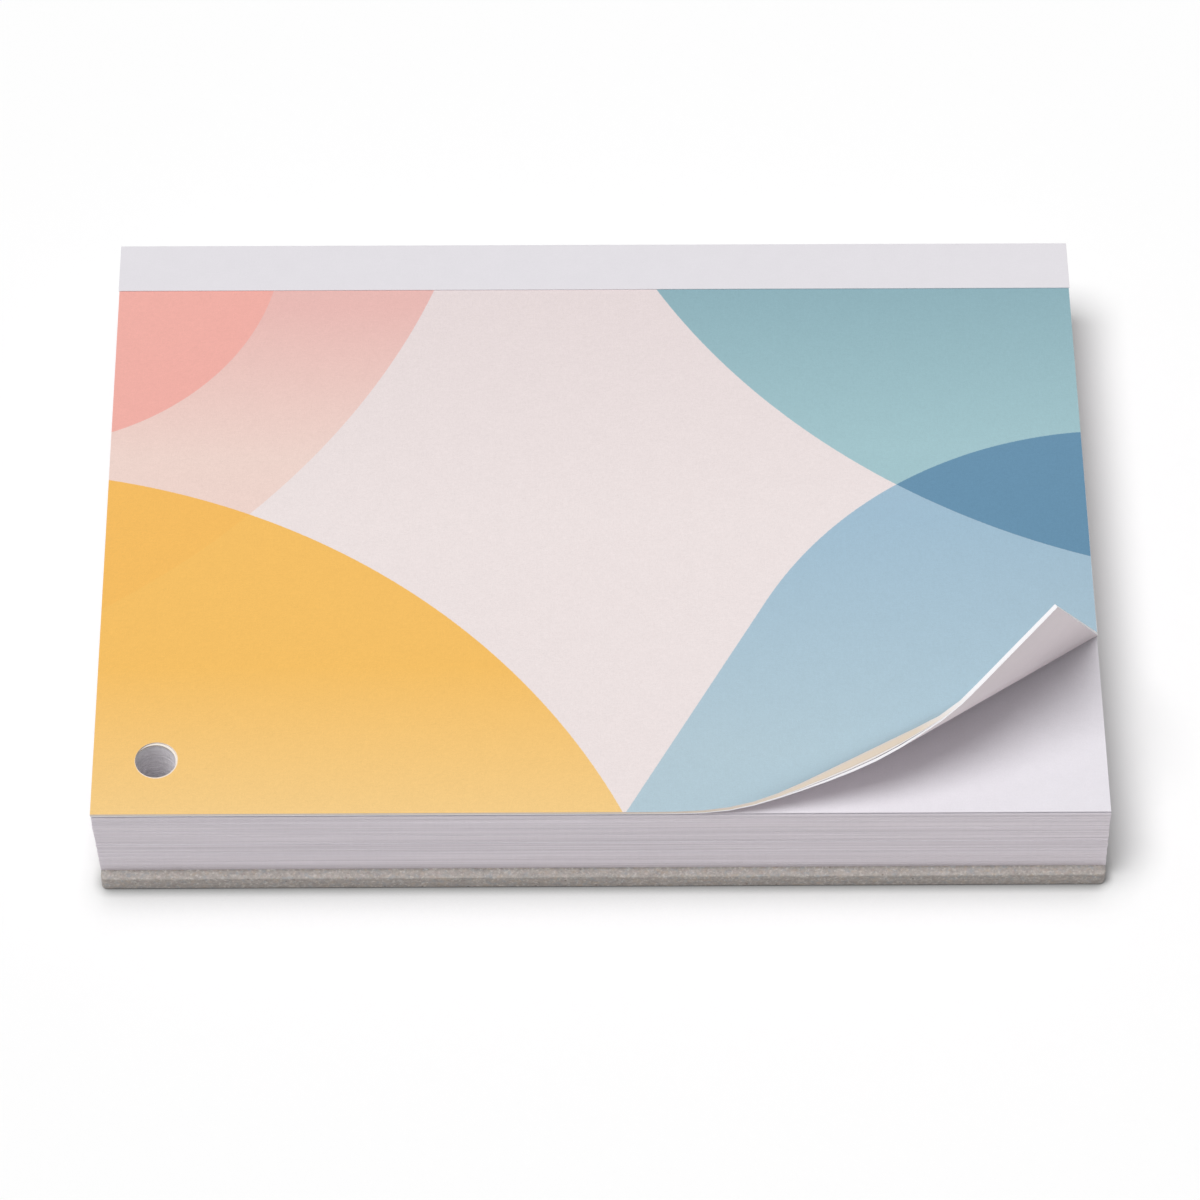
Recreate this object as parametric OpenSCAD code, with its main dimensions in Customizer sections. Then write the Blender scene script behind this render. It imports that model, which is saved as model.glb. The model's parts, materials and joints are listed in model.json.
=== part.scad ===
// Glue-bound notepad: a printed cover, a block of plain sheets, a greyboard back,
// a paper strip folded over the glued edge, a punched hole and one lifted corner.
// The origin is the middle of the sheets, at the underside of the board.
// X runs along the glued edge, Y points at it and Z is up.

/* [Sheets] */
// Length of the sheets along the glued edge
page_w = 148; // [140:1:210]
// Depth of the sheets from the glued edge to the free edge
page_d = 105; // [95:1:148]
// Height of the sheets that lie flat, as one block
block_t = 14.6; // [5:0.1:30]
// Height of the white sheets on the block that lift with the cover
white_t = 0.12; // [0.08:0.01:0.4]
// Height of the cream sheets between them and the cover
cream_t = 0.24; // [0.08:0.01:0.6]
// How far the top of the stack leans to the left of its foot
stack_lean = 0.5; // [0:0.1:2]

/* [Cover] */
// Thickness of the cover card without its ink
cover_t = 0.18; // [0.12:0.01:0.5]
// Thickness of the printed ink
ink_t = 0.06; // [0.05:0.01:0.1]

/* [Backing board] */
// Thickness of the greyboard
board_t = 2.8; // [1:0.1:5]
// How far the board stands out past the sheets at the free edge
board_ledge = 1.6; // [0:0.1:4]
// Radius of the board's two free corners, seen from above
board_corner_r = 0.8; // [0.2:0.1:4]

/* [Binding] */
// Thickness of the dried glue along the spine
glue_t = 0.25; // [0.1:0.05:1]
// Thickness of the binding strip
strip_t = 0.25; // [0.1:0.05:0.6]
// Width of the strip's flap on the cover, from the ends of the sheets
strip_flap = 8.5; // [4:0.1:20]
// How far the strip stands out past the stack at each end
strip_over = 0.12; // [0:0.01:0.5]

/* [Punched hole] */
// Radius of the hole
hole_r = 3; // [1.5:0.1:4]
// Distance of the hole's middle from the cover's left edge
hole_side = 9.1; // [6:0.1:20]
// Distance of the hole's middle from the free edge
hole_front = 9.2; // [6:0.1:20]

/* [Lifted corner] */
// Length of free edge that lifts
lift_front = 70.4; // [45:0.1:76]
// Distance from the free edge of the point that the bends fan out from
lift_side = 32; // [20:0.5:40]
// How far that point lies beyond the right edge
fan_out = 1.6; // [1:0.1:4]
// How far the corner is drawn out past square
corner_out = 1.3; // [0:0.1:3]
// Turn of the long first bend, in degrees
first_bend = 60.5; // [10:0.5:70]
// Middle and half length of the first bend, as a share of the lifted edge
first_bend_at = 0.215; // [0.1:0.005:0.3]
// Turn of the short second bend, in degrees
second_bend = 24; // [0:1:40]
// Middle of the second bend, as a share of the lifted edge
second_bend_at = 0.7; // [0.5:0.01:0.85]
// Half length of the second bend, as a share of the lifted edge
second_bend_half = 0.08; // [0.05:0.01:0.14]
// How far the cream sheets fan out at the lifted edge
cream_fan = 0.9; // [0:0.05:1.6]
// Widest gap between the cream and the white sheets, at the lifted edge
sheet_gap = 0.12; // [0:0.01:0.3]
// How far the white sheets fan out at the lifted edge
white_fan = 0.26; // [0:0.01:0.5]
// Place where the sheets fan out most, as a share of the lifted edge
fan_at = 0.52; // [0.4:0.01:0.6]

/* [Print] */
// Radius of the small coral disc
coral_r = 39.2; // [25:0.1:50]
// How far the coral disc's middle lies to the left of the cover
coral_left = 14.1; // [5:0.1:20]
// How far the coral disc's middle lies beyond the glued edge
coral_back = 0.7; // [0:0.1:10]
// Radius of the large pink disc
pink_r = 123.2; // [110:0.1:135]
// How far the pink disc's middle lies to the left of the cover
pink_left = 66.3; // [60:0.1:75]
// How far the pink disc's middle lies beyond the glued edge
pink_back = 35; // [25:0.1:45]
// Radius of the yellow disc
yellow_r = 107.9; // [90:0.1:115]
// How far the yellow disc's middle lies to the left of the cover
yellow_left = 20.6; // [10:0.1:30]
// How far the yellow disc's middle lies before the free edge
yellow_front = 45.8; // [40:0.1:60]
// Radius of the teal disc
teal_r = 113.1; // [105:0.1:120]
// How far the teal disc's middle lies to the right of the cover
teal_right = 33.6; // [28:0.1:40]
// How far the teal disc's middle lies beyond the glued edge
teal_back = 48.1; // [42:0.1:54]
// Radius of the pale blue disc
blue_r = 62.9; // [55:0.1:66]
// How far the pale blue disc's middle lies to the right of the cover
blue_right = 5.5; // [0:0.1:8]
// How far the pale blue disc's middle lies back from the free edge
blue_in = 5.8; // [3:0.1:8]

/* [Hidden] */
$fn = 96;
// Room by which a cutting shape runs past what it cuts
cut = 1;

// Heights of the layers, from the board's underside up
block_z = board_t;
white_z = block_z + block_t;
cream_z = white_z + white_t;
cover_z = cream_z + cream_t;
card_top_z = cover_z + cover_t;
top_z = card_top_z + ink_t;

// Edges of the leaning stack at its top, and of its foot
left_x = -page_w / 2 - stack_lean;
right_x = page_w / 2 - stack_lean;
foot_left_x = -page_w / 2;
foot_right_x = page_w / 2;
free_y = -page_d / 2;
glued_y = page_d / 2;
strip_front_y = glued_y - strip_flap;
spine_y = glued_y + glue_t;
hole_x = left_x + hole_side;
hole_y = free_y + hole_front;

// The fan of rulings that the lifted corner bends about, on the flat sheet
steps = 48;
lift_start = [right_x - lift_front, free_y];
fan_point = [right_x + fan_out, free_y + lift_side];
corner_tip = [right_x + corner_out, free_y];
side_start = meet(lift_start, fan_point, [right_x, glued_y], [right_x, free_y]);
rulings = [for (i = [0:steps]) ruling(i)];
bends = bend_frames();
normals = [for (i = [0:steps]) unit(axis_z(bends[i]) + axis_z(bends[min(i + 1, steps)]))];

// Lengths over which the sheets fan out and close up again, as shares of the lifted edge
fan_opens = 0.27;
fan_closes = 0.21;

// Middles of the discs
coral_at = [left_x - coral_left, glued_y + coral_back];
pink_at = [left_x - pink_left, glued_y + pink_back];
yellow_at = [left_x - yellow_left, free_y - yellow_front];
teal_at = [right_x + teal_right, glued_y + teal_back];
blue_at = [right_x + blue_right, free_y + blue_in];

function unit(v) = v / norm(v);
function cross2(a, b) = a[0] * b[1] - a[1] * b[0];

// Crossing of the line through p and q with the line through r and s
function meet(p, q, r, s) = p + (q - p) * cross2(r - p, s - r) / cross2(q - p, s - r);

// Ruling i as its ends on the free edge and on the right edge of the flat sheet
function ruling(i) =
    let (front = lift_start + (corner_tip - lift_start) * i / steps)
    i == steps
        ? [corner_tip, corner_tip]
        : [front, meet(front, fan_point, side_start, corner_tip)];

// Smooth bump that is 1 at 0 and 0 from -1 and 1 outwards
function bump(t) = abs(t) < 1 ? pow(cos(90 * t), 2) : 0;

// Turn at ruling i, from the two bends
function turn(i) =
    let (q = i / steps)
    first_bend / steps * bump((q - first_bend_at) / first_bend_at) / first_bend_at
    + second_bend / steps * bump((q - second_bend_at) / second_bend_half) / second_bend_half;

// How far the sheets are fanned out at ruling i, from 0 to 1
function fan_share(i) =
    let (t = i / steps - fan_at)
    bump(t < 0 ? t / fan_opens : t / fan_closes);

function shift(v) = [[1, 0, 0, v[0]], [0, 1, 0, v[1]], [0, 0, 1, v[2]], [0, 0, 0, 1]];
function turn_x(a) = [[1, 0, 0, 0], [0, cos(a), -sin(a), 0], [0, sin(a), cos(a), 0], [0, 0, 0, 1]];
function turn_z(a) = [[cos(a), -sin(a), 0, 0], [sin(a), cos(a), 0, 0], [0, 0, 1, 0], [0, 0, 0, 1]];
function axis_z(m) = [m[0][2], m[1][2], m[2][2]];
function flat_point(p) = [p[0], p[1], top_z];
function put(m, p) = let (v = m * [p[0], p[1], p[2], 1]) [v[0], v[1], v[2]];

// Fold about ruling i of the flat sheet, by its turn
function fold(i) =
    let (
        side = rulings[i][1],
        along = rulings[i][0] - side,
        a = atan2(along[1], along[0]),
        at = flat_point(side)
    )
    shift(at) * turn_z(a) * turn_x(turn(i)) * turn_z(-a) * shift(-at);

// Frame of each strip between two rulings: the folds before it, one after another
function bend_frames() = [
    for (i = 0, m = shift([0, 0, 0]); i <= steps; m = m * fold(min(i, steps - 1)), i = i + 1) m
];

// Points of the bent stack at a depth under the cover's top, out along the free edge and back up the side.
// A sheet under the cover drops further at the free edge, where the sheets fan out.
function front_point(i, depth, drop) =
    put(bends[i], flat_point(rulings[i][0])) - (depth + drop * fan_share(i)) * normals[i];
function side_point(i, depth) = put(bends[i], flat_point(rulings[i][1])) - depth * normals[i];
function curl_rim(depth, drop) = concat(
    [for (i = [0:steps]) front_point(i, depth, drop)],
    [for (i = [steps - 1:-1:0]) side_point(i, depth)]
);
function sheet_rim(depth, drop) = concat(
    [[left_x, glued_y, top_z - depth], [left_x, free_y, top_z - depth]],
    curl_rim(depth, drop),
    [[right_x, glued_y, top_z - depth]]
);

// Triangles of the bent strips, for a rim whose first ruling point has the index first
function strip_faces(first) = [
    for (i = [0:steps - 1])
        let (a = first + i, b = first + i + 1, c = first + 2 * steps - i - 1, d = first + 2 * steps - i)
        each i == steps - 1 ? [[a, b, d]] : [[a, b, c], [a, c, d]]
];

// Closed solid between an upper and a lower rim of n points each
module between_rims(upper, lower, faces) {
    n = len(upper);
    top_faces = [for (f = faces) [for (k = [len(f) - 1:-1:0]) f[k]]];
    low_faces = [for (f = faces) [for (k = f) k + n]];
    side_faces = [
        for (k = [0:n - 1])
            let (j = (k + 1) % n)
            each [[k, j, j + n], [k, j + n, k + n]]
    ];
    polyhedron(points = concat(upper, lower), faces = concat(top_faces, low_faces, side_faces));
}

// Whole sheets from one height to another on the flat stack, with their corner lifted
module lifted_sheets(low_z, high_z, low_drop, high_drop) {
    flat_face = [0, 1, 2, 2 * steps + 2, 2 * steps + 3];
    between_rims(
        sheet_rim(top_z - high_z, high_drop),
        sheet_rim(top_z - low_z, low_drop),
        concat([flat_face], strip_faces(2))
    );
}

// The punched hole, through all that lies on the table side of the cover
module punched_hole() {
    translate([hole_x, hole_y, -cut])
        cylinder(r = hole_r, h = top_z + 2 * cut);
}

// Prism of the leaning stack between two heights, grown by a margin at each end
module leaning_prism(low_z, high_z, low_lean, high_lean, y0, y1, margin) {
    translate([0, y1, 0])
        rotate([90, 0, 0])
            linear_extrude(height = y1 - y0)
                polygon([
                    [foot_left_x - margin - low_lean, low_z],
                    [foot_right_x + margin - low_lean, low_z],
                    [foot_right_x + margin - high_lean, high_z],
                    [foot_left_x - margin - high_lean, high_z]
                ]);
}

// Outline of the part of the cover that stays flat and isn't under the strip
module open_flat_plan() {
    polygon([
        [left_x, strip_front_y],
        [left_x, free_y],
        lift_start,
        side_start,
        [right_x, strip_front_y]
    ]);
}

module disc(at, r) {
    translate(at)
        circle(r = r, $fn = 180);
}

// The pale blue disc, drawn out to a straight flank that starts where the corner lifts
module blue_field() {
    away = blue_at - lift_start;
    reach = norm(away);
    heading = atan2(away[1], away[0]) + asin(blue_r / reach);
    flank = sqrt(reach * reach - blue_r * blue_r);
    touch = lift_start + flank * [cos(heading), sin(heading)];
    disc(blue_at, blue_r);
    polygon([lift_start, [blue_at[0], free_y], blue_at, touch]);
}

// Ink of one flat field, cut to the open part of the cover and by the hole
module ink() {
    translate([0, 0, card_top_z])
        linear_extrude(height = ink_t)
            difference() {
                intersection() {
                    open_flat_plan();
                    children();
                }
                translate([hole_x, hole_y])
                    circle(r = hole_r);
            }
}

module backing_board() {
    color("#a59f9a")
        difference() {
            linear_extrude(height = board_t)
                union() {
                    translate([foot_left_x, free_y - board_ledge + board_corner_r])
                        square([page_w, page_d + board_ledge - board_corner_r]);
                    translate([foot_left_x + board_corner_r, free_y - board_ledge])
                        square([page_w - 2 * board_corner_r, 2 * board_corner_r]);
                    for (x = [foot_left_x + board_corner_r, foot_right_x - board_corner_r])
                        translate([x, free_y - board_ledge + board_corner_r])
                            circle(r = board_corner_r);
                }
            punched_hole();
        }
}

module page_block() {
    color("#e6e1e6")
        difference() {
            leaning_prism(block_z, white_z, 0, stack_lean, free_y, glued_y, 0);
            punched_hole();
        }
}

module white_loose_sheets() {
    color("#e9e6ec")
        difference() {
            lifted_sheets(white_z, cream_z, cream_fan + sheet_gap + white_fan, cream_fan + sheet_gap);
            punched_hole();
        }
}

module cream_loose_sheets() {
    color("#e8dac6")
        difference() {
            lifted_sheets(cream_z, cover_z, cream_fan, 0);
            punched_hole();
        }
}

module cover_sheet() {
    color("#ece1e0")
        difference() {
            lifted_sheets(cover_z, card_top_z, 0, 0);
            punched_hole();
        }
}

module print_coral() {
    color("#f2b0a8")
        ink()
            difference() {
                disc(coral_at, coral_r);
                disc(yellow_at, yellow_r);
            }
}

module print_pink() {
    color("#edc8bf")
        ink()
            difference() {
                disc(pink_at, pink_r);
                disc(coral_at, coral_r);
                disc(yellow_at, yellow_r);
            }
}

module print_yellow() {
    color("#f6c066")
        ink()
            disc(yellow_at, yellow_r);
}

module print_teal() {
    color("#99bbc4")
        ink()
            difference() {
                disc(teal_at, teal_r);
                blue_field();
            }
}

module print_deep_blue() {
    color("#6791ae")
        ink()
            intersection() {
                disc(teal_at, teal_r);
                blue_field();
            }
}

module print_pale_blue() {
    color("#aac4d2") {
        ink()
            difference() {
                blue_field();
                disc(teal_at, teal_r);
                disc(yellow_at, yellow_r);
            }
        between_rims(curl_rim(0, 0), curl_rim(ink_t, 0), strip_faces(0));
    }
}

module glue_film() {
    color("#e9e2d2")
        union() {
            leaning_prism(0, block_z, 0, 0, glued_y, spine_y, 0);
            leaning_prism(block_z, card_top_z, 0, stack_lean, glued_y, spine_y, 0);
        }
}

module binding_strip() {
    color("#e6e3e8")
        union() {
            // Down the spine of the board and of the leaning stack
            leaning_prism(0, block_z, 0, 0, spine_y, spine_y + strip_t, strip_over);
            leaning_prism(block_z, card_top_z, 0, stack_lean, spine_y, spine_y + strip_t, strip_over);
            // Over the cover
            translate([left_x - strip_over, strip_front_y, card_top_z])
                cube([page_w + 2 * strip_over, spine_y - strip_front_y, strip_t]);
            // The round fold between them
            intersection() {
                translate([left_x - strip_over, spine_y, card_top_z])
                    rotate([0, 90, 0])
                        cylinder(r = strip_t, h = page_w + 2 * strip_over);
                translate([left_x - strip_over - cut, spine_y, card_top_z])
                    cube([page_w + 2 * strip_over + 2 * cut, strip_t + cut, strip_t + cut]);
            }
        }
}

backing_board();
page_block();
white_loose_sheets();
cream_loose_sheets();
cover_sheet();
print_coral();
print_pink();
print_yellow();
print_teal();
print_deep_blue();
print_pale_blue();
glue_film();
binding_strip();
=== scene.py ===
"""Looks of the glue-bound notepad: its greyboard, pages, lifted sheets, printed cover and binding strip."""
import json
import math
import random

import bmesh
import bpy
from mathutils import Matrix, Vector


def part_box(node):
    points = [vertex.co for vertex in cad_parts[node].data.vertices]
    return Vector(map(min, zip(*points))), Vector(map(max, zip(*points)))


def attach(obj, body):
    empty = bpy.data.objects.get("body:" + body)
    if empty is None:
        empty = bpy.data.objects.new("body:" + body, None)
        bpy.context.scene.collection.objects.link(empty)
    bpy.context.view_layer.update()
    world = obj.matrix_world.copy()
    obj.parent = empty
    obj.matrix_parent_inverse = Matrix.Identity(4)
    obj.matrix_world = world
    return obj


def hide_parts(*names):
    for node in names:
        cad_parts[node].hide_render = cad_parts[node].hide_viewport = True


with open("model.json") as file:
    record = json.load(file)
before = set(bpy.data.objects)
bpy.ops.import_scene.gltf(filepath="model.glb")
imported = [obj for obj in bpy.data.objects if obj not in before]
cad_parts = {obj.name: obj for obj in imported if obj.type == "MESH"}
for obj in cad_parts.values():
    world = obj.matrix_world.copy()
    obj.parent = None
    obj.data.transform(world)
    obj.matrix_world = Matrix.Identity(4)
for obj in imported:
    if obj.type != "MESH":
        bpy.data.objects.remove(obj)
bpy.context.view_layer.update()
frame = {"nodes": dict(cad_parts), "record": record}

bl_info = {
    "name": "Glue-Bound Notepad",
    "version": (1, 0, 0),
    "blender": (4, 5, 0),
    "location": "3D View > Sidebar > Notepad",
    "description": "Models a glue-bound notepad with a lifted corner around its measured frame",
    "category": "Add Mesh",
}

MM = 0.001
UP = Vector((0, 0, 1))
FLAT_MAP = "flat_place"
CUT_MAP = "cut_place"

# Light on a level surface from the sky, and from each lamp with its place and its width in degrees
SKY_LEVEL = 0.44
LAMPS = {
    "key_lamp": ((-0.31, -0.10, 1.0), 0.62, 30.0),
}
# How much light the floor gives back to the pad, and how much of its own it shows
FLOOR_BOUNCE = 0.97
FLOOR_GLOW = 0.03
# How far from the pad in millimetres, and how strongly, the floor darkens on its shaded sides
FLOOR_CONTACT = ((8.0, 0.86), (1.6, 1.0))
# How bright the light of its own is, the floor's width in metres, and how far it lies under the pad
FLOOR_GLOW_LEVEL = 1.5
FLOOR_WIDTH = 6.0
FLOOR_DROP = 0.02 * MM

# The camera, in millimetres and degrees: lens and sensor, the point that it looks at and how far off
CAMERA_LENS, CAMERA_SENSOR = 150.04, 36.0
CAMERA_TARGET, CAMERA_DISTANCE = (-0.172, -9.410, 10.0), 755.63
CAMERA_ELEVATION, CAMERA_YAW, CAMERA_ROLL = 54.991, -1.229, 0.762

# Middles of the cover's discs in millimetres: the first three from its left edge and from its glued,
# glued and free edges, the other two from its right edge and from the frame's middle
CORAL_AT = (-14.1, 0.7)
PINK_AT = (-66.3, 35.0)
YELLOW_AT = (-20.6, -45.8)
TEAL_AT = (33.6, 100.6)
BLUE_AT = (5.5, -46.7)

# Sides of the punched hole, and how much further the cover slips towards the glued edge than sideways
PUNCH_SIDES = 72
SLIP_RATIO = 1.7
# Start of the random draws that put the sheets out of line
SHEET_SEED = 41


def shown(red, green, blue):
    """The linear colour that shows as these display values from 0 to 255."""
    parts = (value / 255 for value in (red, green, blue))
    return tuple(part / 12.92 if part <= 0.04045 else ((part + 0.055) / 1.055) ** 2.4 for part in parts)


def length(name, millimetres, words):
    return bpy.props.FloatProperty(
        name=name, description=words, default=millimetres * MM, unit="LENGTH", precision=5
    )


def number(name, value, low, high, words):
    return bpy.props.IntProperty(name=name, description=words, default=value, min=low, max=high)


def share(name, value, words):
    return bpy.props.FloatProperty(name=name, description=words, default=value, min=0, max=1)


def turn(name, degrees, words):
    return bpy.props.FloatProperty(name=name, description=words, default=math.radians(degrees), subtype="ANGLE")


def colour(name, values, words):
    return bpy.props.FloatVectorProperty(
        name=name, description=words, default=shown(*values), size=3, min=0, max=1, subtype="COLOR"
    )


BLOCK_LOW, BLOCK_HIGH = (Vector(corner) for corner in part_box("page_block"))
BOARD_LOW, BOARD_HIGH = (Vector(corner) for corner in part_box("backing_board"))
CARD_LOW, CARD_HIGH = (Vector(corner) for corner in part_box("cover_sheet"))
STRIP_LOW, STRIP_HIGH = (Vector(corner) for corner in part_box("binding_strip"))
GLUE_HIGH = Vector(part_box("glue_film")[1])
INK_HIGH = Vector(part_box("print_yellow")[1])
CREAM_LOW = Vector(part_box("cream_loose_sheets")[0])
WHITE_LOW = Vector(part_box("white_loose_sheets")[0])
HOLE = next(mount for mount in frame["record"]["mounts"] if mount["name"] == "punched_hole")


class NotepadSheets(bpy.types.PropertyGroup):
    """Sizes of the stack"""

    sheet_count: number("Sheets", 146, 20, 300, "Sheets that lie flat")
    page_width: length("Page width", 148.0, "Length of the sheets along the glued edge")
    stack_lean: length("Lean", 0.5, "How far the top of the stack leans to the left of its foot")
    unevenness: length("Unevenness", 0.07, "How far a sheet's edge stands in or out from its neighbours'")
    groove_depth: length("Groove", 0.5, "How far the topmost flat sheets stand back under the loose ones")
    groove_sheets: number("Groove sheets", 3, 0, 10, "Sheets that stand back")
    hole_radius: length("Hole", HOLE["dims"]["r_mm"] + 0.05, "Radius of the punched hole")
    hole_slip: length("Hole slip", 0.09, "How far the cover has slipped from the sheets at the hole")
    board_corner: length("Board corner", 0.8, "Radius of the board's free corners")
    board_wear: length("Board wear", 0.28, "Width of the board's softened edges")
    strip_flap: length("Strip flap", 8.5, "Width of the strip's flap on the cover")
    strip_paper: length("Strip paper", 0.19, "Thickness of the strip's paper")


class NotepadLift(bpy.types.PropertyGroup):
    """Shape of the lifted corner"""

    steps: number("Folds", 96, 12, 200, "Fine folds that make up the bends")
    front: length("Lifted edge", 70.4, "Length of free edge that lifts")
    side: length("Fan height", 32.0, "Distance from the free edge of the point that the bends fan out from")
    beyond: length("Fan reach", 1.6, "How far that point lies beyond the right edge")
    corner_out: length("Corner out", 1.3, "How far the corner is drawn out past square")
    first_bend: turn("First bend", 60.5, "Turn of the long first bend")
    first_at: share("First bend place", 0.215, "Middle and half length of the first bend along the lifted edge")
    second_bend: turn("Second bend", 24.0, "Turn of the short second bend")
    second_at: share("Second bend place", 0.7, "Middle of the second bend along the lifted edge")
    second_half: share("Second bend half", 0.08, "Half length of the second bend")
    cream_fan: length("Cream fan", 0.9, "How far the cream sheets fan out at the lifted edge")
    sheet_gap: length("Gap between sheets", 0.12, "Widest gap between the cream and the white sheets")
    white_fan: length("White fan", 0.26, "How far the white sheets fan out at the lifted edge")
    fan_at: share("Fan place", 0.52, "Place along the lifted edge where the sheets fan out most")
    fan_opens: share("Fan opens", 0.27, "Length over which the sheets fan out")
    fan_closes: share("Fan closes", 0.21, "Length over which the sheets close up again")


class NotepadPrint(bpy.types.PropertyGroup):
    """The overlapping discs of flat colour on the cover"""

    ground: colour("Ground", (238, 227, 226), "Blush ground of the cover, by the free edge")
    ground_back: colour("Ground, back", (230, 217, 217), "Blush ground by the strip")
    coral: colour("Coral", (242, 176, 166), "Small coral disc")
    pink: colour("Pink", (239, 213, 204), "Large pink disc, by the yellow one")
    pink_back: colour("Pink, back", (234, 187, 181), "Large pink disc by the strip")
    yellow: colour("Yellow", (246, 192, 99), "Yellow disc")
    yellow_front: colour("Yellow, front", (246, 206, 136), "Yellow disc by the free edge")
    yellow_over_pink: colour("Yellow over pink", (246, 188, 94), "Yellow disc where the pink lies under it")
    teal: colour("Teal", (163, 197, 204), "Teal disc, by its rim")
    teal_back: colour("Teal, back", (142, 177, 187), "Teal disc by the strip")
    pale_blue: colour("Pale blue", (161, 190, 209), "Pale blue field")
    pale_blue_front: colour("Pale blue, front", (180, 202, 213), "Pale blue field by the free edge")
    deep_blue: colour("Deep blue", (103, 145, 174), "Where the teal and the pale blue overlap")
    coral_radius: length("Coral radius", 39.2, "Radius of the coral disc")
    pink_radius: length("Pink radius", 123.2, "Radius of the pink disc")
    yellow_radius: length("Yellow radius", 107.9, "Radius of the yellow disc")
    teal_radius: length("Teal radius", 113.1, "Radius of the teal disc")
    blue_radius: length("Blue radius", 62.9, "Radius of the pale blue disc")


class NotepadPaper(bpy.types.PropertyGroup):
    """Colours of the papers and the board"""

    white_sheet: colour("White sheet", (233, 230, 236), "Plain writing sheets")
    white_back: colour("White back", (229, 219, 222), "Undersides of the sheets that lift")
    page_edges: colour("Page edges", (226, 218, 224), "Cut edges of the writing sheets")
    # Painted light: the sheets' edges in the hole are painted much lighter than the same edges outside, to light the
    # hole's wall
    hole_wall_painted_light: colour("Hole wall", (252, 249, 252), "Sheets' edges in the punched hole")
    white_cut: colour("White cut", (250, 249, 252), "Cut edges of the loose white sheets")
    cover_cut: colour("Cover cut", (224, 213, 204), "Cut edges of the cover")
    cream_sheet: colour("Cream sheet", (244, 238, 230), "The cream sheets under the cover")
    cream_cut: colour("Cream cut", (228, 213, 195), "Cut edges of the cream sheets")
    cream_foot: colour("Cream foot", (238, 234, 232), "Cut edge of the lowest cream sheet")
    strip: colour("Binding strip", (230, 227, 232), "The strip's paper")
    greyboard: colour("Greyboard", (173, 167, 162), "Face of the backing board")
    board_edge: colour("Greyboard edge", (168, 161, 156), "Cut edge of the backing board")
    glue: colour("Glue", (228, 221, 204), "The dried glue")


# Modelling by hand


def clear_selection():
    """Object mode with nothing selected."""
    active = bpy.context.view_layer.objects.active
    if active and active.mode != "OBJECT":
        bpy.ops.object.mode_set(mode="OBJECT")
    bpy.ops.object.select_all(action="DESELECT")


def edit():
    bpy.ops.object.mode_set(mode="EDIT")


def done():
    bpy.ops.object.mode_set(mode="OBJECT")


def pick_all():
    bpy.ops.mesh.select_all(action="SELECT")


def extrude(offset):
    bpy.ops.mesh.extrude_region_move(TRANSFORM_OT_translate={"value": offset})


def plate(name, low, high, z):
    """A flat rectangle between two corners, facing up, as the start of a piece."""
    clear_selection()
    middle = ((low[0] + high[0]) / 2, (low[1] + high[1]) / 2, z)
    bpy.ops.mesh.primitive_plane_add(size=high[0] - low[0], location=middle)
    piece = bpy.context.object
    piece.name = piece.data.name = name
    edit()
    pick_all()
    bpy.ops.transform.resize(value=(1, (high[1] - low[1]) / (high[0] - low[0]), 1), center_override=middle)
    done()
    bpy.ops.object.transform_apply(location=True, rotation=True, scale=True)
    return piece


def pick_verts(piece, test):
    """Selects the vertices that pass a test, in edit mode."""
    bpy.context.tool_settings.mesh_select_mode = (True, False, False)
    mesh = bmesh.from_edit_mesh(piece.data)
    for vert in mesh.verts:
        vert.select = bool(test(vert))
    mesh.select_flush_mode()
    bmesh.update_edit_mesh(piece.data)


def pick_edges(piece, test):
    """Selects the edges that pass a test, in edit mode."""
    bpy.context.tool_settings.mesh_select_mode = (False, True, False)
    mesh = bmesh.from_edit_mesh(piece.data)
    for edge in mesh.edges:
        edge.select = bool(test(edge))
    mesh.select_flush_mode()
    bmesh.update_edit_mesh(piece.data)


def move(offset):
    bpy.ops.transform.translate(value=offset)


def rotate(angle, axis, centre):
    """Turns the selection by the right-hand rule, which is against the operator's own sense."""
    bpy.ops.transform.rotate(value=-angle, orient_axis=axis, center_override=centre)


def finish_modifier(piece, kind, name, **settings):
    """Adds a modifier with its settings and applies it."""
    clear_selection()
    piece.select_set(True)
    bpy.context.view_layer.objects.active = piece
    modifier = piece.modifiers.new(name, kind)
    for setting, value in settings.items():
        setattr(modifier, setting, value)
    bpy.ops.object.modifier_apply(modifier=modifier.name)


def tidy_mesh(piece, angle):
    """Merges doubles, turns the faces outwards and sets smooth shading up to an angle."""
    clear_selection()
    piece.select_set(True)
    bpy.context.view_layer.objects.active = piece
    edit()
    pick_all()
    bpy.ops.mesh.remove_doubles(threshold=0.001 * MM)
    bpy.ops.mesh.normals_make_consistent(inside=False)
    done()
    bpy.ops.object.shade_smooth_by_angle(angle=math.radians(angle))


def punch(piece, wall_slot, side=-1.0):
    """Cuts the punched hole a little to one side, and gives its wall a material slot."""
    sheets = bpy.context.scene.notepad_sheets
    middle = Vector(HOLE["pos_m"]) + side * Vector((sheets.hole_slip, SLIP_RATIO * sheets.hole_slip, 0))
    clear_selection()
    bpy.ops.mesh.primitive_cylinder_add(
        vertices=PUNCH_SIDES, radius=sheets.hole_radius, depth=40 * MM, location=(middle.x, middle.y, 10 * MM)
    )
    punch_pin = bpy.context.object
    punch_pin.name = "punch_pin"
    bpy.ops.object.transform_apply(location=True, rotation=True, scale=True)
    finish_modifier(piece, "BOOLEAN", "Punch", object=punch_pin, operation="DIFFERENCE", solver="EXACT")
    bpy.data.objects.remove(punch_pin)
    reach = sheets.hole_radius * 1.02
    for face in piece.data.polygons:
        offset = face.center - middle
        if abs(face.normal.z) < 0.5 and math.hypot(offset.x, offset.y) < reach:
            face.material_index = wall_slot


def settle(piece, node_slot, *nodes):
    """The piece rides on the pad and stands for its solids."""
    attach(piece, "root")
    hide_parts(*nodes)


# Materials


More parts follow.
